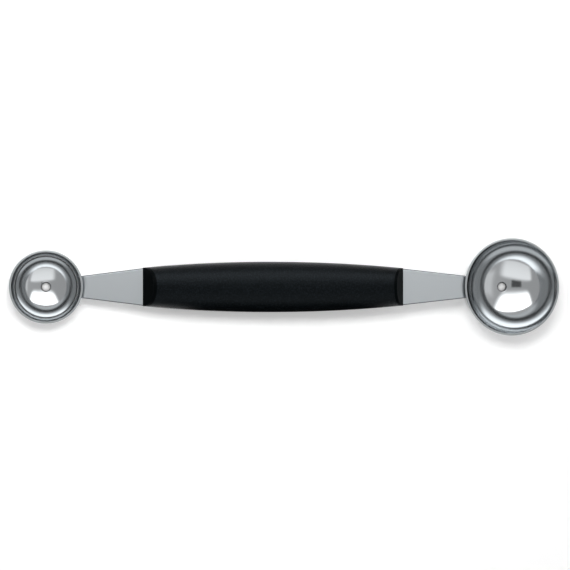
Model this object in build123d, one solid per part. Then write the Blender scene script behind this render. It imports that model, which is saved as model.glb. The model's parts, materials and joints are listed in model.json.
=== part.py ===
"""Double-ended melon baller: two pressed steel bowls on stamped necks, joined by a soft-grip handle.

Everything is shaped in the tool's own frame, with the handle's middle at the origin, the necks' sheet
centred on z = 0 and the small bowl on the -X side. At the end the tool is laid on a table, on its two bowls.
"""

from build123d import *
import math
import os

os.makedirs("parts", exist_ok=True)

# Handle, outside
handle_length = 88.7
handle_mid_width = 17.0
handle_end_width = 12.8
handle_mid_thickness = 15.2
handle_end_thickness = 11.8
oval_exponent = 2.3
oval_points = 16
station_shares = (-1.0, 0.0, 1.0)
nose_slope = 58.0
nose_rim = 0.9

# Soft grip and the core under it
grip_thickness = 1.8
lock_bore_diameter = 4.0
lock_bore_tang_gap = 3.85
lock_bore_shares = (-1.0, 0.0, 1.0)

# Bowls: rim diameter and depth are measured on the outside
small_bowl_diameter = 24.3
small_bowl_depth = 9.7
large_bowl_diameter = 33.7
large_bowl_depth = 13.3
bowl_sheet = 0.7
rim_stand = 0.6
rim_round = 0.25
vent_diameter = 3.0
vent_round = 0.25

# Necks, their flanges and welds
neck_sheet = 1.5
neck_edge_round = 0.4
neck_handle_width = 12.5
neck_bend_inside = 0.7
small_neck_length = 19.7
small_neck_bowl_width = 7.5
small_flange_drop = 4.2
large_neck_length = 21.5
large_neck_bowl_width = 7.8
large_flange_drop = 5.4
weld_leg = 0.7
weld_inset = 1.0

# Tangs inside the handle, and the pegs that hold them
tang_sheet = 1.3
tang_width = 7.0
tang_ends_gap = 28.7
tang_corner_round = 2.0
tang_clearance = 0.05
peg_hole_diameter = 3.2
peg_clearance = 0.1
peg_stand = 2.2
first_peg_distance = 9.0
last_peg_end_distance = 8.0
pegs_per_tang = 2

# Every cut runs this far past the face that it leaves through
overrun = 2.0

half_length = handle_length / 2
tang_length = (handle_length - tang_ends_gap) / 2
neck_top = neck_sheet / 2
tang_top = tang_sheet / 2
rim_level = neck_top + rim_stand


# Sketch helpers

def area(left, right, low, high):
    """A rectangle from left to right and from low to high."""
    return Pos((left + right) / 2, (low + high) / 2) * Rectangle(right - left, high - low)


def corner(sketch, across, up):
    """The sketch's corner nearest to a point."""
    return sketch.vertices().sort_by_distance((across, up, 0))[0]


# Bowls, each about the Z axis

def ball_radius(diameter, depth):
    """Radius of the outer sphere that a bowl is a cap of."""
    return ((diameter / 2) ** 2 + depth**2) / (2 * depth)


def bowl(diameter, depth):
    """A pressed cap of a sphere with a ground rim and a vent hole."""
    outer = ball_radius(diameter, depth)
    inner = outer - bowl_sheet
    centre = rim_level - depth + outer
    wall = Pos(0, centre) * (Circle(outer) - Circle(inner))
    wall &= area(vent_diameter / 2, outer, centre - outer, rim_level)
    rim_inside = math.sqrt(inner**2 - (centre - rim_level) ** 2)
    vent_outside = centre - math.sqrt(outer**2 - (vent_diameter / 2) ** 2)
    vent_inside = centre - math.sqrt(inner**2 - (vent_diameter / 2) ** 2)
    wall = fillet([corner(wall, diameter / 2, rim_level), corner(wall, rim_inside, rim_level)], rim_round)
    vent_corners = [
        corner(wall, vent_diameter / 2, vent_outside),
        corner(wall, vent_diameter / 2, vent_inside),
    ]
    wall = fillet(vent_corners, vent_round)
    return revolve(Plane.XZ * wall, Axis.Z)


# Necks, each with its bowl's axis on Z and the handle towards +X

def flange_end_angle(diameter, depth, drop):
    """Angle from straight down, at the ball's centre, of the flange's lower end."""
    outer = ball_radius(diameter, depth)
    return math.acos((rim_level - depth + outer - neck_top + drop) / outer)


def flange_profile(diameter, depth, drop):
    """Side view of the strip bending down along the bowl's outside."""
    outer = ball_radius(diameter, depth)
    centre = rim_level - depth + outer
    skin = outer + neck_sheet
    end_angle = flange_end_angle(diameter, depth, drop)
    far = skin + overrun
    below = (far * math.sin(end_angle), centre - far * math.cos(end_angle))
    wedge = make_face(Polyline((0, centre), below, (far + far, below[1]), (far + far, centre), close=True))
    hug = Pos(0, centre) * (Circle(skin) - Circle(outer))
    hug &= wedge
    hug &= area(0, far, centre - far, neck_top)
    strip = area(0, skin + overrun, -neck_top, neck_top) - Pos(0, centre) * Circle(outer)
    profile = hug + strip
    bowl_side = math.sqrt(outer**2 - (centre - neck_top) ** 2)
    under_side = math.sqrt(skin**2 - (centre + neck_top) ** 2)
    profile = fillet(corner(profile, bowl_side, neck_top), neck_bend_inside + neck_sheet)
    return fillet(corner(profile, under_side, -neck_top), neck_bend_inside)


def neck_outline(diameter, depth, length, bowl_width, drop):
    """Top view, widening evenly from under the bowl to the handle."""
    wall = diameter / 2
    shoulder = wall + length
    spread = (neck_handle_width - bowl_width) / 2 / length
    start = ball_radius(diameter, depth) * math.sin(flange_end_angle(diameter, depth, drop)) - overrun
    start_side = bowl_width / 2 - spread * (wall - start)
    end_side = neck_handle_width / 2
    return make_face(
        Polyline((start, -start_side), (shoulder, -end_side), (shoulder, end_side), (start, start_side), close=True)
    )


def tang_outline(shoulder, clearance):
    """Top view of the tang inside the handle, or of the pocket that takes it."""
    end = shoulder + tang_length + clearance
    side = tang_width / 2 + clearance
    tang = area(shoulder - overrun, end, -side, side)
    return fillet([corner(tang, end, -side), corner(tang, end, side)], tang_corner_round + clearance)


def peg_places(shoulder):
    """Places along the tool at which the pegs pass through the tang."""
    pitch = (tang_length - first_peg_distance - last_peg_end_distance) / (pegs_per_tang - 1)
    return [shoulder + first_peg_distance + i * pitch for i in range(pegs_per_tang)]


def neck(diameter, depth, length, bowl_width, drop):
    """A stamped neck: flange, tapered strip and tang in one piece."""
    shoulder = diameter / 2 + length
    skin = ball_radius(diameter, depth) + neck_sheet
    outline = neck_outline(diameter, depth, length, bowl_width, drop)
    turned = revolve(Plane.XZ * flange_profile(diameter, depth, drop), Axis.Z)
    strip = extrude(outline, neck_top, both=True)
    strip -= Cylinder(skin + overrun / 2, neck_sheet + overrun)
    blade = (turned & extrude(outline, depth + overrun, both=True)) + strip
    sides = blade.faces().filter_by(GeomType.PLANE).filter_by(lambda side: abs(side.normal_at().Y) > 0.5)
    # The long edges are rounded, but not the flange's lower end, where the weld lies
    rims = [edge for side in sides for edge in side.edges() if abs((edge @ 0).X - (edge @ 1).X) > 0]
    blade = fillet([edge for edge in rims if edge.geom_type != GeomType.HYPERBOLA], neck_edge_round)
    tang = extrude(tang_outline(shoulder, 0), tang_top, both=True)
    for place in peg_places(shoulder):
        tang -= Pos(place, 0) * Cylinder(peg_hole_diameter / 2, neck_sheet + overrun)
    return blade + tang


def weld(diameter, depth, bowl_width, drop):
    """The weld fillet in the corner between the flange's lower end and the bowl."""
    outer = ball_radius(diameter, depth)
    centre = rim_level - depth + outer
    angle = flange_end_angle(diameter, depth, drop)
    toe_angle = angle - weld_leg / outer
    root = (outer * math.sin(angle), centre - outer * math.cos(angle))
    crest = ((outer + weld_leg) * math.sin(angle), centre - (outer + weld_leg) * math.cos(angle))
    toe = (outer * math.sin(toe_angle), centre - outer * math.cos(toe_angle))
    bead = make_face(Polyline(root, crest, toe, close=True)) - Pos(0, centre) * Circle(outer)
    side = bowl_width / 2 - weld_inset
    reach = extrude(area(0, diameter, -side, side), depth + overrun, both=True)
    return revolve(Plane.XZ * bead, Axis.Z) & reach


# Handle, lying along X

def oval(along, inset):
    """The handle's rounded section at one place, drawn in from its outside."""
    swell = 1 - (along / half_length) ** 2
    side = (handle_end_width + (handle_mid_width - handle_end_width) * swell) / 2 - inset
    rise = (handle_end_thickness + (handle_mid_thickness - handle_end_thickness) * swell) / 2 - inset
    points = []
    for i in range(oval_points):
        turn = 2 * math.pi * i / oval_points
        across = side * math.copysign(abs(math.cos(turn)) ** (2 / oval_exponent), math.cos(turn))
        up = rise * math.copysign(abs(math.sin(turn)) ** (2 / oval_exponent), math.sin(turn))
        points.append((across, up))
    section = Plane(origin=(along, 0, 0), x_dir=(0, 1, 0), z_dir=(1, 0, 0))
    return section * make_face(Spline(*points, periodic=True))


def barrel(inset):
    """The handle's body, thickest in the middle, drawn in from its outside."""
    return loft([oval(share * half_length, inset) for share in station_shares])


def slanted_block(setback):
    """What lies between the handle's slanted ends, when they are set back along it."""
    end = half_length - setback
    lean = (handle_mid_thickness - neck_top) / math.tan(math.radians(nose_slope))
    side = [(end, neck_top), (end - lean, handle_mid_thickness)]
    upper = side + [(-x, z) for x, z in reversed(side)]
    lower = [(x, -z) for x, z in reversed(upper)]
    return extrude(Plane.XZ * make_face(Polyline(*upper, *lower, close=True)), handle_mid_width, both=True)


def grip_and_core():
    """The soft sleeve and the hard core that it is moulded over, each whole."""
    body = barrel(0)
    between_noses = slanted_block(nose_rim)
    waist = barrel(grip_thickness) & between_noses
    outermost_bore = half_length - tang_length - lock_bore_tang_gap - lock_bore_diameter / 2
    for share in lock_bore_shares:
        waist -= Pos(share * outermost_bore, 0) * Cylinder(lock_bore_diameter / 2, handle_mid_thickness)
    grip = (body & between_noses) - waist
    noses = body & (slanted_block(0) - between_noses)
    return grip, waist + noses


def core_halves(core):
    """The core split level with the tangs, with pockets for them, pegs below and sockets above."""
    peg_radius = peg_hole_diameter / 2 - peg_clearance
    pocket = extrude(tang_outline(-half_length, tang_clearance), tang_top, both=True)
    low_peg = -tang_top - overrun
    high_peg = tang_top + peg_stand
    pegs = []
    sockets = []
    for place in peg_places(-half_length):
        peg = Pos(place, 0, (low_peg + high_peg) / 2) * Cylinder(peg_radius, high_peg - low_peg)
        bore = Pos(place, 0, (high_peg + peg_clearance) / 2)
        pegs.append(peg)
        sockets.append(bore * Cylinder(peg_radius + peg_clearance, high_peg + peg_clearance))
    half_block = Box(handle_length, handle_mid_width, handle_mid_thickness)
    upper = core & Pos(0, 0, handle_mid_thickness / 2) * half_block
    lower = core & Pos(0, 0, -handle_mid_thickness / 2) * half_block
    for end in (Rot(0, 0, 0), Rot(0, 0, 180)):
        upper -= end * pocket
        lower -= end * pocket
        for peg, socket in zip(pegs, sockets):
            upper -= end * socket
            lower += end * peg
    return upper, lower


# The tool laid on a table, so that both bowls touch it

small_place = -(half_length + small_neck_length + small_bowl_diameter / 2)
large_place = half_length + large_neck_length + large_bowl_diameter / 2
vent_ring = vent_diameter / 2 + vent_round


def lowest(diameter, depth):
    """Level of the ring around the vent, which is the part of a bowl that touches the table."""
    outer = ball_radius(diameter, depth)
    return rim_level - depth + outer - math.sqrt(outer**2 - vent_ring**2)


small_low = lowest(small_bowl_diameter, small_bowl_depth)
large_low = lowest(large_bowl_diameter, large_bowl_depth)
tilt = math.atan2(small_low - large_low, large_place - small_place)
table = small_place * math.sin(tilt) + small_low * math.cos(tilt) - vent_ring * math.sin(tilt)
left_end = (small_place - small_bowl_diameter / 2) * math.cos(tilt) - rim_level * math.sin(tilt)
right_end = (large_place + large_bowl_diameter / 2) * math.cos(tilt) - rim_level * math.sin(tilt)
on_table = Pos(-(left_end + right_end) / 2, 0, -table) * Rot(0, -math.degrees(tilt), 0)

small_end = Pos(small_place, 0)
large_end = Pos(large_place, 0) * Rot(0, 0, 180)
soft_grip, core_body = grip_and_core()
core_upper, core_lower = core_halves(core_body)

small_sizes = (small_bowl_diameter, small_bowl_depth)
large_sizes = (large_bowl_diameter, large_bowl_depth)
pieces = {
    "small_bowl": small_end * bowl(*small_sizes),
    "large_bowl": large_end * bowl(*large_sizes),
    "small_neck": small_end * neck(*small_sizes, small_neck_length, small_neck_bowl_width, small_flange_drop),
    "large_neck": large_end * neck(*large_sizes, large_neck_length, large_neck_bowl_width, large_flange_drop),
    "small_bowl_weld": small_end * weld(*small_sizes, small_neck_bowl_width, small_flange_drop),
    "large_bowl_weld": large_end * weld(*large_sizes, large_neck_bowl_width, large_flange_drop),
    "core_upper_half": core_upper,
    "core_lower_half": core_lower,
    "soft_grip": soft_grip,
}

for name, piece in pieces.items():
    export_step(on_table * piece, f"parts/{name}.step")
    print(name, round(piece.volume, 1), "mm3")
print("tilt", round(math.degrees(tilt), 3), "degrees, places", round(small_place, 2), round(large_place, 2))
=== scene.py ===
# %% [markdown]
# A melon baller with a bowl at each end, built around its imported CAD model.
# The CAD model brings every piece at its real size and place, in metres, with +Z up out of the bowls.
# This script adds fine meshes where light shows every facet, gives each piece its finish, and sets up
# the studio. Each cell makes one thing and prints what it made.

import json
import math

import bmesh
import bpy
from mathutils import Matrix, Vector


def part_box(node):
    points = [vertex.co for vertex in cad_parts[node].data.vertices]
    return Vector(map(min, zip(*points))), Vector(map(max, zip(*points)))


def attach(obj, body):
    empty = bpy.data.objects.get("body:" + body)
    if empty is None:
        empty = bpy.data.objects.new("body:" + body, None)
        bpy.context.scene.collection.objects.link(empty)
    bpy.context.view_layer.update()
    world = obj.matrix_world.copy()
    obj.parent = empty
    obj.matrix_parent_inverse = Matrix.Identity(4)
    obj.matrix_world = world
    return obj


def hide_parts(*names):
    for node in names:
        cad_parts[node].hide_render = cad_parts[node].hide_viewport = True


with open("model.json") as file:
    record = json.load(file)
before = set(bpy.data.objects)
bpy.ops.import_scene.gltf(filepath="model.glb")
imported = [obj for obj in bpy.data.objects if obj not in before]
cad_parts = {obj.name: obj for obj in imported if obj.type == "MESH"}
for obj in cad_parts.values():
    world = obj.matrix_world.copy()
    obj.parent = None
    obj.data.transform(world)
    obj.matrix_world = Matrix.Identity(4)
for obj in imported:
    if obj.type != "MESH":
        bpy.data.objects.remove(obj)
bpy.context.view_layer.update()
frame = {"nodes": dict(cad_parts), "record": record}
print("nodes", sorted(frame["nodes"]))

# %% [markdown]
# The tool lies on its two bowls, so it leans a little. It is easier to model it straight, in its own
# frame: X along the tool, Y across it, Z up, and the middle of the handle at zero. The grip is the same
# at both ends, so the middle of its box is the middle of the handle. The vent hole gives the upright
# direction, and every piece is put in place by one function that leans it the same way.

# %% The tool's own frame
MM = 0.001


def middle_of(box):
    low, high = box
    return (Vector(low) + Vector(high)) / 2


mounts = {mount["name"]: mount for mount in frame["record"]["mounts"]}
handle_middle = middle_of(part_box("soft_grip"))
tool_up = Vector(mounts["small_vent_hole"]["axis"]).normalized()
tool_across = Vector((0.0, 1.0, 0.0))
tool_along = tool_across.cross(tool_up)


def on_tool(along, across, up):
    """A point of the tool, given in millimetres in its own frame, where it lies in the scene."""
    return handle_middle + (tool_along * along + tool_across * across + tool_up * up) * MM


print("handle middle", handle_middle, "lean in degrees", math.degrees(tool_up.angle((0.0, 0.0, 1.0))))

# %% [markdown]
# The fine meshes repeat the sizes of the CAD model, so that each one fills the same space as the solid
# that it stands for. They are all in millimetres, as a maker would write them. These few serve both the
# bowls and the grip, and every other size is given where it is first needed.

# %% Sizes that the pieces share
handle_length = 88.7
half_length = handle_length / 2
neck_sheet = 1.5
neck_top = neck_sheet / 2
print("handle", handle_length, "mm long, neck strip", neck_sheet, "mm thick")

# %% [markdown]
# Three small helpers serve every material. The first turns a colour that is written the way a screen
# shows it into the linear value that a renderer works with. The second adds one node with its
# settings and its links, so that a material reads as a list of steps. The third starts a material with
# the one shader that all the finishes here are made from.

# %% Material helpers
def linear(code):
    """A linear colour from an sRGB hex code such as 8C9298."""
    parts = [int(code[i:i + 2], 16) / 255 for i in (0, 2, 4)]
    return tuple(p / 12.92 if p <= 0.04045 else ((p + 0.055) / 1.055) ** 2.4 for p in parts) + (1.0,)


def add_node(tree, kind, values=None, **settings):
    """Adds a node. Values are numbers, colours or other nodes' outputs for its input sockets."""
    node = tree.nodes.new(kind)
    for name, setting in settings.items():
        setattr(node, name, setting)
    for socket, value in (values or {}).items():
        if isinstance(value, bpy.types.NodeSocket):
            tree.links.new(value, node.inputs[socket])
        else:
            node.inputs[socket].default_value = value
    return node


def new_material(name, **values):
    """A material with one Principled shader. Underscores in names stand for spaces."""
    material = bpy.data.materials.new(name)
    material.use_nodes = True
    shader = material.node_tree.nodes["Principled BSDF"]
    for socket, value in values.items():
        shader.inputs[socket.replace("_", " ")].default_value = value
    return material, material.node_tree, shader


print("a mid grey, 808080, is", round(linear("808080")[0], 3), "as a linear value")

# %% [markdown]
# The bowls are stainless steel sheet, pressed and then polished until they mirror the studio. What the
# eye reads as a polished bowl is only the room: bright boxes, dark gaps, and rings where light bounces
# two or three times inside. The colour is the grey that stainless keeps of each bounce. Polishing
# leaves a very faint waviness, a few millimetres wide, which keeps the rings from looking drawn.

# %% Polished stainless steel
polished_steel, tree, shader = new_material(
    "polished_stainless_steel",
    Base_Color=linear("C0C3C5"),
    Metallic=1.0,
    Roughness=0.1,
)
polish_waves = 2.5 * MM
polish_depth = 0.0008 * MM
place = add_node(tree, "ShaderNodeTexCoord")
waves = add_node(tree, "ShaderNodeTexNoise", {"Vector": place.outputs["Object"], "Scale": 1 / polish_waves})
lift = add_node(tree, "ShaderNodeBump", {"Height": waves.outputs["Fac"], "Distance": polish_depth})
tree.links.new(lift.outputs["Normal"], shader.inputs["Normal"])
print("made", polished_steel.name)

# %% [markdown]
# The necks are stamped from thicker strip and tumbled, which gives a satin surface: it still shines,
# but as an even pale grey without any picture in it. Grain of about a quarter of a millimetre breaks
# the light up. The long edges get a darker colour, which draws a thin dark line along the neck. This is
# painted shade for the rounded edges that mirror the dark room beside the tool, and it also dims their
# highlight. The nodes find these edges by how far the surface faces sideways.

# %% Satin stainless steel
satin_steel, tree, shader = new_material(
    "satin_stainless_steel",
    Metallic=1.0,
    Roughness=0.38,
)
satin_grain = 0.25 * MM
satin_depth = 0.004 * MM
edge_shade_start = 0.08
edge_shade_full = 0.4
place = add_node(tree, "ShaderNodeTexCoord")
facing = add_node(tree, "ShaderNodeSeparateXYZ", {"Vector": place.outputs["Normal"]})
sideways = add_node(tree, "ShaderNodeMath", {0: facing.outputs["Y"]}, operation="ABSOLUTE")
# Painted shade: the long edges, which face sideways, take the darker colour below.
edge_shade = add_node(tree, "ShaderNodeMapRange",
                   {"Value": sideways.outputs[0], "From Min": edge_shade_start, "From Max": edge_shade_full})
colour = add_node(tree, "ShaderNodeMix", {"Factor": edge_shade.outputs["Result"]}, data_type="RGBA")
colour.inputs["A"].default_value = linear("B9BEC1")
# The darker colour is the painted shade of the long edges.
colour.inputs["B"].default_value = linear("5A5D60")
tree.links.new(colour.outputs["Result"], shader.inputs["Base Color"])
grain = add_node(tree, "ShaderNodeTexNoise", {"Vector": place.outputs["Object"], "Scale": 1 / satin_grain})
lift = add_node(tree, "ShaderNodeBump", {"Height": grain.outputs["Fac"], "Distance": satin_depth})
tree.links.new(lift.outputs["Normal"], shader.inputs["Normal"])
print("made", satin_steel.name)

# %% [markdown]
# The weld under each flange is the same steel, melted and brushed over, so it is duller and rougher.

# %% Brushed-over weld
weld_steel, tree, shader = new_material(
    "brushed_stainless_weld",
    Base_Color=linear("B4B4B4"),
    Metallic=1.0,
    Roughness=0.5,
)
weld_ripples = 0.4 * MM
weld_depth = 0.05 * MM
place = add_node(tree, "ShaderNodeTexCoord")
ripples = add_node(tree, "ShaderNodeTexNoise",
                   {"Vector": place.outputs["Object"], "Scale": 1 / weld_ripples})
lift = add_node(tree, "ShaderNodeBump", {"Height": ripples.outputs["Fac"], "Distance": weld_depth})
tree.links.new(lift.outputs["Normal"], shader.inputs["Normal"])
print("made", weld_steel.name)

# %% [markdown]
# The rim was ground flat after pressing. Both the rim and the vent's edge are rough: the rim reads as an
# even pale ring, and the vent's edge, which is given a very dark steel, as a thin dark one.

# %% Ground rim and dark vent edge
ground_steel = new_material(
    "ground_stainless_rim", Base_Color=linear("A4A8AA"), Metallic=1.0, Roughness=0.4)[0]
# The vent's edge is given a very dark steel, which draws a thin dark ring round the vent.
dark_vent_steel = new_material(
    "dark_stainless_vent_edge", Base_Color=linear("3E4144"), Metallic=1.0, Roughness=0.6)[0]
print("made", ground_steel.name, dark_vent_steel.name)

# %% [markdown]
# The core shows as the slanted nose at each end of the handle. It is hard plastic with a fine mould
# texture, and beside the grip it reads as a flat black. The shine of a black plastic sits on top of its
# colour, so a low specular level is what keeps the nose dark where it faces the bright boxes.

# %% Moulded hard plastic
core_plastic, tree, shader = new_material(
    "moulded_polypropylene",
    Base_Color=linear("020405"),
    Roughness=0.38,
    IOR=1.49,
    Specular_IOR_Level=0.02,
)
spark_grain = 0.18 * MM
spark_depth = 0.01 * MM
place = add_node(tree, "ShaderNodeTexCoord")
grain = add_node(tree, "ShaderNodeTexNoise", {"Vector": place.outputs["Object"], "Scale": 1 / spark_grain})
lift = add_node(tree, "ShaderNodeBump", {"Height": grain.outputs["Fac"], "Distance": spark_depth})
tree.links.new(lift.outputs["Normal"], shader.inputs["Normal"])
print("made", core_plastic.name)

# %% [markdown]
# The grip is thermoplastic rubber, moulded over the core. It has a soft, broad sheen: the edge that
# faces the bright box is charcoal, and the far edge is black. The mould was sand-blasted, and its grit
# breaks the sheen into a fine speckle. Real blast grit is about 0.2 mm, too fine to show from this far,
# so it is drawn at 0.5 mm. The grit also swallows much of the shine, so the specular level is low, with
# a cool tint for the bluish black of the picture.

# %% Soft-touch rubber
grip_rubber, tree, shader = new_material(
    "moulded_soft_touch_rubber",
    Roughness=0.36,
    IOR=1.5,
    Specular_IOR_Level=0.1,
    Specular_Tint=linear("DCE9F2"),
)
blast_grit = 0.5 * MM
blast_depth = 0.1 * MM
speckle_start = 0.45
speckle_full = 0.75
place = add_node(tree, "ShaderNodeTexCoord")
grit = add_node(tree, "ShaderNodeTexNoise", {"Vector": place.outputs["Object"], "Scale": 1 / blast_grit})
speckle = add_node(tree, "ShaderNodeMapRange",
                   {"Value": grit.outputs["Fac"], "From Min": speckle_start, "From Max": speckle_full})
colour = add_node(tree, "ShaderNodeMix", {"Factor": speckle.outputs["Result"]}, data_type="RGBA")
colour.inputs["A"].default_value = linear("020405")
colour.inputs["B"].default_value = linear("0E1215")
tree.links.new(colour.outputs["Result"], shader.inputs["Base Color"])
lift = add_node(tree, "ShaderNodeBump", {"Height": grit.outputs["Fac"], "Distance": blast_depth})
tree.links.new(lift.outputs["Normal"], shader.inputs["Normal"])
print("made", grip_rubber.name)

# %% [markdown]
# A mesh is only points and faces. This helper makes one from lists, smooths its shading and puts it on
# the body that carries it. The slot names the finish that the piece stands for in the record.

# %% Mesh helper
def make_piece(name, points, faces, material, nodes):
    """A smooth mesh that rides on the body and stands for the named nodes of the CAD model."""
    mesh = bpy.data.meshes.new(name)
    mesh.from_pydata(points, [], faces)
    mesh.update()
    mesh.materials.append(material)
    shape = bmesh.new()
    shape.from_mesh(mesh)
    bmesh.ops.recalc_face_normals(shape, faces=shape.faces)
    shape.to_mesh(mesh)
    shape.free()
    mesh.shade_smooth()
    piece = bpy.data.objects.new(name, mesh)
    bpy.context.collection.objects.link(piece)
    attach(piece, "root")
    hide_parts(*nodes)
    print(name, len(mesh.vertices), "points", len(mesh.polygons), "faces")
    return piece


# %% [markdown]
# A bowl is a cap of a sphere in sheet metal, so its half section is drawn once and turned around the
# axis, as a lathe would. The section runs in one closed loop: up the inside from the vent, round the
# rim, down the outside and round the vent's edge. A mirror shows every mistake in its curve, so the
# walls get many points, and the small rounds get their own. The rim stands a little above the neck's
# upper face, because the flange of the neck reaches the bowl from outside, just below its rim.

# %% Bowl section
WALL_POINTS = 56
ROUND_POINTS = 7
bowl_sheet = 0.7
rim_stand = 0.6
rim_level = neck_top + rim_stand
rim_round = 0.2
rim_edge = 0.05
vent_diameter = 3.0
vent_round = 0.25


def arc(centre, radius, start, end, count):
    """Points on an arc of the half section, as pairs of radius and height."""
    steps = [start + (end - start) * i / (count - 1) for i in range(count)]
    return [(centre[0] + radius * math.cos(a), centre[1] + radius * math.sin(a)) for a in steps]


def bowl_section(diameter, depth):
    """The closed loop of the half section. Diameter and depth are those of the bowl's outside."""
    outer = ((diameter / 2) ** 2 + depth ** 2) / (2 * depth)
    inner = outer - bowl_sheet
    centre = rim_level - depth + outer
    rim_outer = outer - rim_round
    rim_inner = inner + rim_edge
    outer_lean = math.asin((rim_level - rim_round - centre) / rim_outer)
    inner_lean = math.asin((rim_level - rim_edge - centre) / rim_inner)
    vent_wall = vent_diameter / 2 + vent_round
    inner_vent = -math.acos(vent_wall / (inner + vent_round))
    outer_vent = -math.acos(vent_wall / (outer - vent_round))
    axis = (0.0, centre)
    loop = arc(axis, inner, inner_vent, inner_lean, WALL_POINTS)
    rim_in = (rim_inner * math.cos(inner_lean), rim_level - rim_edge)
    loop += arc(rim_in, rim_edge, inner_lean + math.pi, math.pi / 2, ROUND_POINTS)[1:]
    rim_out = (rim_outer * math.cos(outer_lean), rim_level - rim_round)
    loop += arc(rim_out, rim_round, math.pi / 2, outer_lean, ROUND_POINTS)
    loop += arc(axis, outer, outer_lean, outer_vent, WALL_POINTS)[1:]
    vent_out = (vent_wall, centre + (outer - vent_round) * math.sin(outer_vent))
    loop += arc(vent_out, vent_round, outer_vent + 2 * math.pi, math.pi, ROUND_POINTS)[1:]
    vent_in = (vent_wall, centre + (inner + vent_round) * math.sin(inner_vent))
    loop += arc(vent_in, vent_round, math.pi, math.pi + inner_vent, ROUND_POINTS)[:-1]
    return loop


print("bowl sheet", bowl_sheet, "mm, rim at", rim_level, "mm above the middle of the neck strip")

# %% [markdown]
# Turning the section makes one ring of faces for each stretch of the loop, so a face's finish follows
# from its place in the loop. The walls are polished, the flat of the rim and the inner half of its outer
# round are ground, and the stretches at the vent get the very dark edge steel.

# %% Turned bowl
AROUND = 240
RIM_START = WALL_POINTS - 1
RIM_END = WALL_POINTS + 2 * ROUND_POINTS - 2 - ROUND_POINTS // 2
VENT_START = 2 * WALL_POINTS + 2 * ROUND_POINTS - 3


def turned_bowl(name, diameter, depth, along):
    """Turns the section around the bowl's axis, which stands at the given place along the tool."""
    loop = bowl_section(diameter, depth)
    points = []
    faces = []
    for i in range(AROUND):
        turn = 2 * math.pi * i / AROUND
        for radius, height in loop:
            points.append(on_tool(along + radius * math.cos(turn), radius * math.sin(turn), height))
    count = len(loop)
    for i in range(AROUND):
        here = i * count
        beside = (i + 1) % AROUND * count
        for j in range(count):
            k = (j + 1) % count
            faces.append((here + j, here + k, beside + k, beside + j))
    bowl = make_piece(name + "_turned", points, faces, polished_steel, [name])
    bowl.data.materials.append(ground_steel)
    bowl.data.materials.append(dark_vent_steel)
    for index, face in enumerate(bowl.data.polygons):
        stretch = index % count
        if RIM_START <= stretch < RIM_END:
            face.material_index = 1
        elif stretch >= VENT_START:
            face.material_index = 2


# %% [markdown]
# The same section serves both bowls. Only the width, the depth and the place along the tool differ, so
# one call each is enough, and the two bowls always match in sheet, rim and vent.

# %% Both bowls
small_bowl_diameter = 24.3
small_bowl_depth = 9.7
small_neck_length = 19.7
small_place = -(half_length + small_neck_length + small_bowl_diameter / 2)
turned_bowl("small_bowl", small_bowl_diameter, small_bowl_depth, small_place)

large_bowl_diameter = 33.7
large_bowl_depth = 13.3
large_neck_length = 21.5
large_place = half_length + large_neck_length + large_bowl_diameter / 2
turned_bowl("large_bowl", large_bowl_diameter, large_bowl_depth, large_place)
print("bowls at", small_place, "and", large_place, "mm along the tool")

# %% [markdown]
# The handle's section is a soft oval between an ellipse and a rectangle, widest halfway along. The
# rubber sleeve ends where the slanted noses of the core begin, so each line along the sleeve stops at
# its own length, found by stepping towards the slanted plane a few times.

# %% Handle section
SLANT_STEPS = 12
handle_mid_width = 17.0
handle_end_width = 12.8
handle_mid_thickness = 15.2
handle_end_thickness = 11.8
oval_exponent = 2.3
nose_slope = math.radians(58.0)
nose_rim = 0.9


def oval_point(along, turn, inset):
    """Across and up, in millimetres, on the handle's section at one place along it."""
    swell = 1 - (along / half_length) ** 2
    side = (handle_end_width + (handle_mid_width - handle_end_width) * swell) / 2 - inset
    rise = (handle_end_thickness + (handle_mid_thickness - handle_end_thickness) * swell) / 2 - inset
    across = side * math.copysign(abs(math.cos(turn)) ** (2 / oval_exponent), math.cos(turn))
    up = rise * math.copysign(abs(math.sin(turn)) ** (2 / oval_exponent), math.sin(turn))
    return across, up


def sleeve_end(turn, inset):
    """How far from the middle the sleeve reaches on one of the lines along it."""
    along = half_length - nose_rim
    for _ in range(SLANT_STEPS):
        up = oval_point(along, turn, inset)[1]
        along = half_length - nose_rim - max(abs(up) - neck_top, 0.0) / math.tan(nose_slope)
    return along


print("sleeve reaches", round(sleeve_end(0.0, 0.0), 2), "mm at its sides,",
      round(sleeve_end(math.pi / 2, 0.0), 2), "mm at its top")

# %% [markdown]
# The sleeve is a closed tube of even thickness: one grid of points for its outside, one for its inside,
# and faces that join their ends. The outside lies flush with the noses. Moulded rubber has no sharp
# edge, so a bevel gives both ends a tiny round, which catches a thin line of light.

# %% Soft grip
GRIP_AROUND = 128
GRIP_ALONG = 96
grip_thickness = 1.8
grip_edge_round = 0.08
edge_round_steps = 3
sharp_angle = math.radians(30)


def sleeve_grid(inset):
    """Rows of points around the sleeve, from one end to the other."""
    rows = []
    for i in range(GRIP_ALONG + 1):
        share = -1 + 2 * i / GRIP_ALONG
        row = []
        for j in range(GRIP_AROUND):
            turn = 2 * math.pi * (j + 0.5) / GRIP_AROUND
            along = share * sleeve_end(turn, inset)
            across, up = oval_point(along, turn, inset)
            row.append(on_tool(along, across, up))
        rows.append(row)
    return rows


def grip_sleeve():
    """Joins the outside and the inside of the sleeve into one closed tube."""
    outside = sleeve_grid(0.0)
    inside = sleeve_grid(grip_thickness)
    loops = outside + inside[::-1]
    points = [point for row in loops for point in row]
    faces = []
    for i in range(len(loops)):
        here = i * GRIP_AROUND
        beside = (i + 1) % len(loops) * GRIP_AROUND
        for j in range(GRIP_AROUND):
            k = (j + 1) % GRIP_AROUND
            faces.append((here + j, here + k, beside + k, beside + j))
    return make_piece("soft_grip_sleeve", points, faces, grip_rubber, ["soft_grip"])


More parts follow.
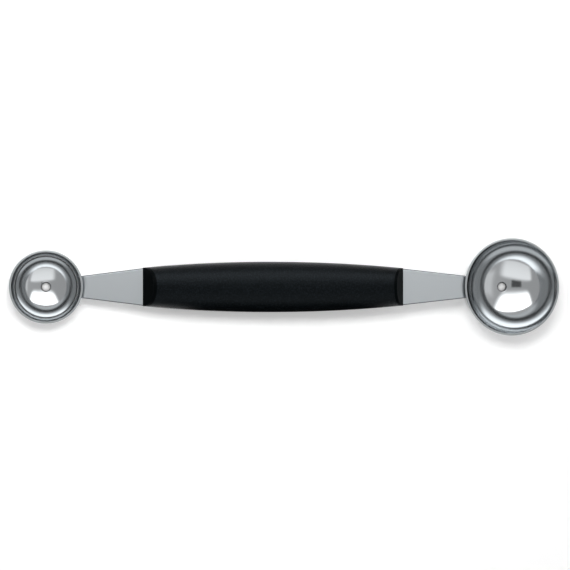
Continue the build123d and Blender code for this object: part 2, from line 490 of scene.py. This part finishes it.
soft_grip = grip_sleeve()
edge_round = soft_grip.modifiers.new("edge round", "BEVEL")
edge_round.width = grip_edge_round * MM
edge_round.segments = edge_round_steps
edge_round.limit_method = "ANGLE"
edge_round.angle_limit = sharp_angle
print("ends rounded by", grip_edge_round, "mm")

# %% [markdown]
# The necks, the welds and the two halves of the core keep their CAD shape, because stamping and
# moulding leave plain faces and the CAD model already has their rounds. They only get their finish.

# %% Finishes on the CAD pieces
finishes = {
    "small_neck": satin_steel,
    "large_neck": satin_steel,
    "small_bowl_weld": weld_steel,
    "large_bowl_weld": weld_steel,
    "core_upper_half": core_plastic,
    "core_lower_half": core_plastic,
}
for name, material in finishes.items():
    node = frame["nodes"][name]
    for slot in node.material_slots:
        slot.material = material
    print(name, material.name)

# %% [markdown]
# The picture was taken from above and a little to the left, with a long lens. The camera's place was
# worked out from where the two bowls and the handle fall in the picture.

# %% Camera
camera_place = on_tool(-79.14, 0.645, 537.33)
camera_target = on_tool(3.67, 0.645, -0.08)
focal_pixels = 1609.0
picture_pixels = 570
sensor_width = 36.0
nearest_seen = 0.01
farthest_seen = 20.0
camera = bpy.data.objects.new("camera", bpy.data.cameras.new("camera"))
bpy.context.collection.objects.link(camera)
camera.location = camera_place
back = (camera_place - camera_target).normalized()
right = Vector((0.0, 1.0, 0.0)).cross(back).normalized()
picture_up = back.cross(right)
facing = Matrix((right, picture_up, back)).transposed().to_4x4()
camera.matrix_world = Matrix.Translation(camera_place) @ facing
camera.data.sensor_width = sensor_width
camera.data.lens = sensor_width * focal_pixels / picture_pixels
camera.data.clip_start = nearest_seen
camera.data.clip_end = farthest_seen
bpy.context.scene.camera = camera
print("lens", camera.data.lens, "mm")

# %% [markdown]
# The floor is plain white card. It keeps the soft shadow, and a little of its own light, seen only by
# the camera and by reflections, lifts it to white without putting more light on the tool. Light also
# struggles to reach the floor right under the tool. The ambient occlusion node measures how closed in
# each point is, and darkens the card there, which gives the tight dark line under the handle. It counts
# for more in reflections: a bowl's wall mirrors its own vent hole as a thin ring, and looks through it
# at a slant, where the floor under the bowl is darkest.

# %% White floor card
contact_reach = 5 * MM
contact_depth = 1.6
mirror_depth = 6.0
own_strength = 0.2
own_depth = 6.0
floor_card, tree, shader = new_material("white_floor_card", Roughness=1.0, Specular_IOR_Level=0.0)
rays = add_node(tree, "ShaderNodeLightPath")
seen = add_node(tree, "ShaderNodeMath",
                {0: rays.outputs["Is Camera Ray"], 1: rays.outputs["Is Glossy Ray"]}, operation="MAXIMUM")
seen = add_node(tree, "ShaderNodeMath",
                {0: seen.outputs[0], 1: rays.outputs["Is Transmission Ray"]}, operation="MAXIMUM")
nearness = add_node(tree, "ShaderNodeAmbientOcclusion", {"Distance": contact_reach}, samples=8)
depth = add_node(tree, "ShaderNodeMath",
                 {0: rays.outputs["Is Glossy Ray"], 1: mirror_depth, 2: contact_depth},
                 operation="MULTIPLY_ADD")
shade = add_node(tree, "ShaderNodeMath",
                 {0: nearness.outputs["AO"], 1: depth.outputs[0]}, operation="POWER")
paint = add_node(tree, "ShaderNodeMix", {"Factor": shade.outputs[0]}, data_type="RGBA")
paint.inputs["A"].default_value = linear("000000")
paint.inputs["B"].default_value = linear("F2F2F2")
tree.links.new(paint.outputs["Result"], shader.inputs["Base Color"])
own_light = add_node(tree, "ShaderNodeMath", {0: seen.outputs[0], 1: own_strength}, operation="MULTIPLY")
own_shade = add_node(tree, "ShaderNodeMath", {0: nearness.outputs["AO"], 1: own_depth}, operation="POWER")
own_light = add_node(tree, "ShaderNodeMath",
                     {0: own_light.outputs[0], 1: own_shade.outputs[0]}, operation="MULTIPLY")
shader.inputs["Emission Color"].default_value = linear("FFFFFF")
tree.links.new(own_light.outputs[0], shader.inputs["Emission Strength"])
print("made", floor_card.name)

# %% [markdown]
# The floor is one flat square, much larger than the picture, so its edge stays out of sight.

# %% Floor
floor_half = 3.0
corners = [
    (-floor_half, -floor_half, 0),
    (floor_half, -floor_half, 0),
    (floor_half, floor_half, 0),
    (-floor_half, floor_half, 0),
]
floor_mesh = bpy.data.meshes.new("floor")
floor_mesh.from_pydata(corners, [], [(0, 1, 2, 3)])
floor_mesh.materials.append(floor_card)
floor = bpy.data.objects.new("floor", floor_mesh)
bpy.context.collection.objects.link(floor)
print("floor", floor_half * 2, "m square")

# %% [markdown]
# A mirror shows nothing but its surroundings, so the studio is built as glowing cards. A card holds two
# numbers at each of its points: how bright it is there, and how solid, because a cloth box fades out at
# its edges. One small material reads both numbers and mixes plain light with clear air.

# %% Card glow
def card_glow(name):
    """A glow as strong as the point's level, and as solid as its cover."""
    glow = bpy.data.materials.new(name)
    glow.use_nodes = True
    tree = glow.node_tree
    tree.nodes.clear()
    level = add_node(tree, "ShaderNodeAttribute", attribute_name="level")
    cover = add_node(tree, "ShaderNodeAttribute", attribute_name="cover")
    light = add_node(tree, "ShaderNodeEmission",
                     {"Color": linear("FFFFFF"), "Strength": level.outputs["Fac"]})
    clear = add_node(tree, "ShaderNodeBsdfTransparent")
    edge = add_node(tree, "ShaderNodeMixShader",
                    {0: cover.outputs["Fac"], 1: clear.outputs["BSDF"], 2: light.outputs["Emission"]})
    add_node(tree, "ShaderNodeOutputMaterial", {"Surface": edge.outputs["Shader"]})
    return glow


# %% [markdown]
# The card itself is a grid between four corners, fine enough for both numbers to change smoothly. Cards
# are hidden from the camera and throw no shadow. Some show only in shiny surfaces and some light only
# matte ones, so that the bowls' reflections and the tool's shadow are set apart.

# %% Card helper
CARD_STEPS = 24


def eased(share):
    """Goes smoothly from 0 to 1, with no kink at either end."""
    share = min(max(share, 0.0), 1.0)
    return share * share * (3 - 2 * share)


def light_card(name, corners, near, far, soft, soft_near=None, bow=0.0, shines_on=("glossy",)):
    """
    A glowing card with soft edges. The corners run near left, near right, far right, far left, in mm.
    Near and far are the brightness of those edges, and soft is the share of the card that fades out.
    """
    near_left, near_right, far_right, far_left = [Vector(corner) for corner in corners]
    points, levels, covers, faces = [], [], [], []
    for i in range(CARD_STEPS + 1):
        v = i / CARD_STEPS
        for j in range(CARD_STEPS + 1):
            u = j / CARD_STEPS
            place = near_left.lerp(near_right, u).lerp(far_left.lerp(far_right, u), v)
            lean_in = bow * (1 - (2 * u - 1) ** 2) * (1 - v)
            points.append((place + Vector((0.0, lean_in, 0.0))) * MM)
            levels.append(near + (far - near) * v)
            sides = eased(u / soft) * eased((1 - u) / soft) * eased((1 - v) / soft)
            covers.append(sides * eased(v / (soft_near or soft)))
    row = CARD_STEPS + 1
    for i in range(CARD_STEPS):
        for j in range(CARD_STEPS):
            first = i * row + j
            faces.append((first, first + 1, first + row + 1, first + row))
    mesh = bpy.data.meshes.new(name)
    mesh.from_pydata(points, [], faces)
    mesh.attributes.new("level", "FLOAT", "POINT").data.foreach_set("value", levels)
    mesh.attributes.new("cover", "FLOAT", "POINT").data.foreach_set("value", covers)
    mesh.materials.append(card_glow(name))
    card = bpy.data.objects.new(name, mesh)
    bpy.context.collection.objects.link(card)
    card.visible_camera = False
    card.visible_shadow = False
    card.visible_diffuse = "matte" in shines_on
    card.visible_glossy = "glossy" in shines_on
    print(name, "level", near, "to", far, "lights", shines_on)


# %% [markdown]
# Where each card stands was read from the bowls. The bright box behind the tool gives the white
# patches low in the bowls, their bright crescents and the sheen along the grip. The grey box in front
# gives the paler patches above the vents, and the side panel lifts the right-hand walls. The shade
# stands for the dark camera overhead, which the large bowl shows as a small dark patch. The black flag
# lies low beside the handle, as a photographer would put one, and keeps the grip's near edge black. The
# key box stands above and behind the tool, lights only matte surfaces, and throws the tool's shadow.

# %% Light cards
bright_corners = [(-190, 20, 250), (140, 20, 250), (540, 470, 250), (-560, 520, 250)]
grey_corners = [(-210, -80, 180), (175, -80, 180), (270, -420, 180), (-330, -420, 180)]
side_corners = [(180, -180, 180), (180, 120, 180), (480, 180, 180), (480, -320, 180)]
shade_corners = [(-165, -125, 400), (30, -125, 400), (30, 10, 400), (-165, 10, 400)]
flag_corners = [(-44, -9.5, 0.5), (44, -9.5, 0.5), (38, -44, 30), (-38, -44, 30)]
key_corners = [(-210, 38, 400), (60, 38, 400), (60, 203, 400), (-210, 203, 400)]

light_card("bright_box", bright_corners, near=2.8, far=5.0, soft=0.2, soft_near=0.24)
light_card("grey_box", grey_corners, near=1.4, far=1.0, soft=0.2, soft_near=0.1, bow=40)
light_card("side_panel", side_corners, near=0.9, far=0.9, soft=0.3)
light_card("camera_shade", shade_corners, near=0.11, far=0.11, soft=0.06)
light_card("black_flag", flag_corners, near=0.02, far=0.02, soft=0.15, soft_near=0.03)
light_card("key_box", key_corners, near=18.5, far=18.5, soft=0.3, shines_on=("matte",))

# %% [markdown]
# The rest of the room is an even grey, a touch lighter on the right. It fills the gaps between the
# cards in every reflection and keeps the shadow from going black.

# %% World
level_beside = 0.56
level_overhead = 0.54
side_change = 0.05
world = bpy.data.worlds.new("studio room")
bpy.context.scene.world = world
world.use_nodes = True
tree = world.node_tree
background = tree.nodes["Background"]
direction = add_node(tree, "ShaderNodeTexCoord")
parts = add_node(tree, "ShaderNodeSeparateXYZ", {"Vector": direction.outputs["Generated"]})
height = add_node(tree, "ShaderNodeMapRange",
                  {"Value": parts.outputs["Z"], "To Min": level_beside, "To Max": level_overhead})
side = add_node(tree, "ShaderNodeMapRange",
                {"Value": parts.outputs["X"], "From Min": -1.0,
                 "To Min": -side_change, "To Max": side_change})
level = add_node(tree, "ShaderNodeMath", {0: height.outputs[0], 1: side.outputs[0]}, operation="ADD")
tree.links.new(level.outputs[0], background.inputs["Strength"])
background.inputs["Color"].default_value = linear("FFFFFF")
print("made the world", world.name)

# %% [markdown]
# The Standard view shows colours as they are written, so the white floor stays white and each finish
# can be compared with the picture directly.

# %% Picture settings
bpy.context.scene.view_settings.view_transform = "Standard"
print("view", bpy.context.scene.view_settings.view_transform)
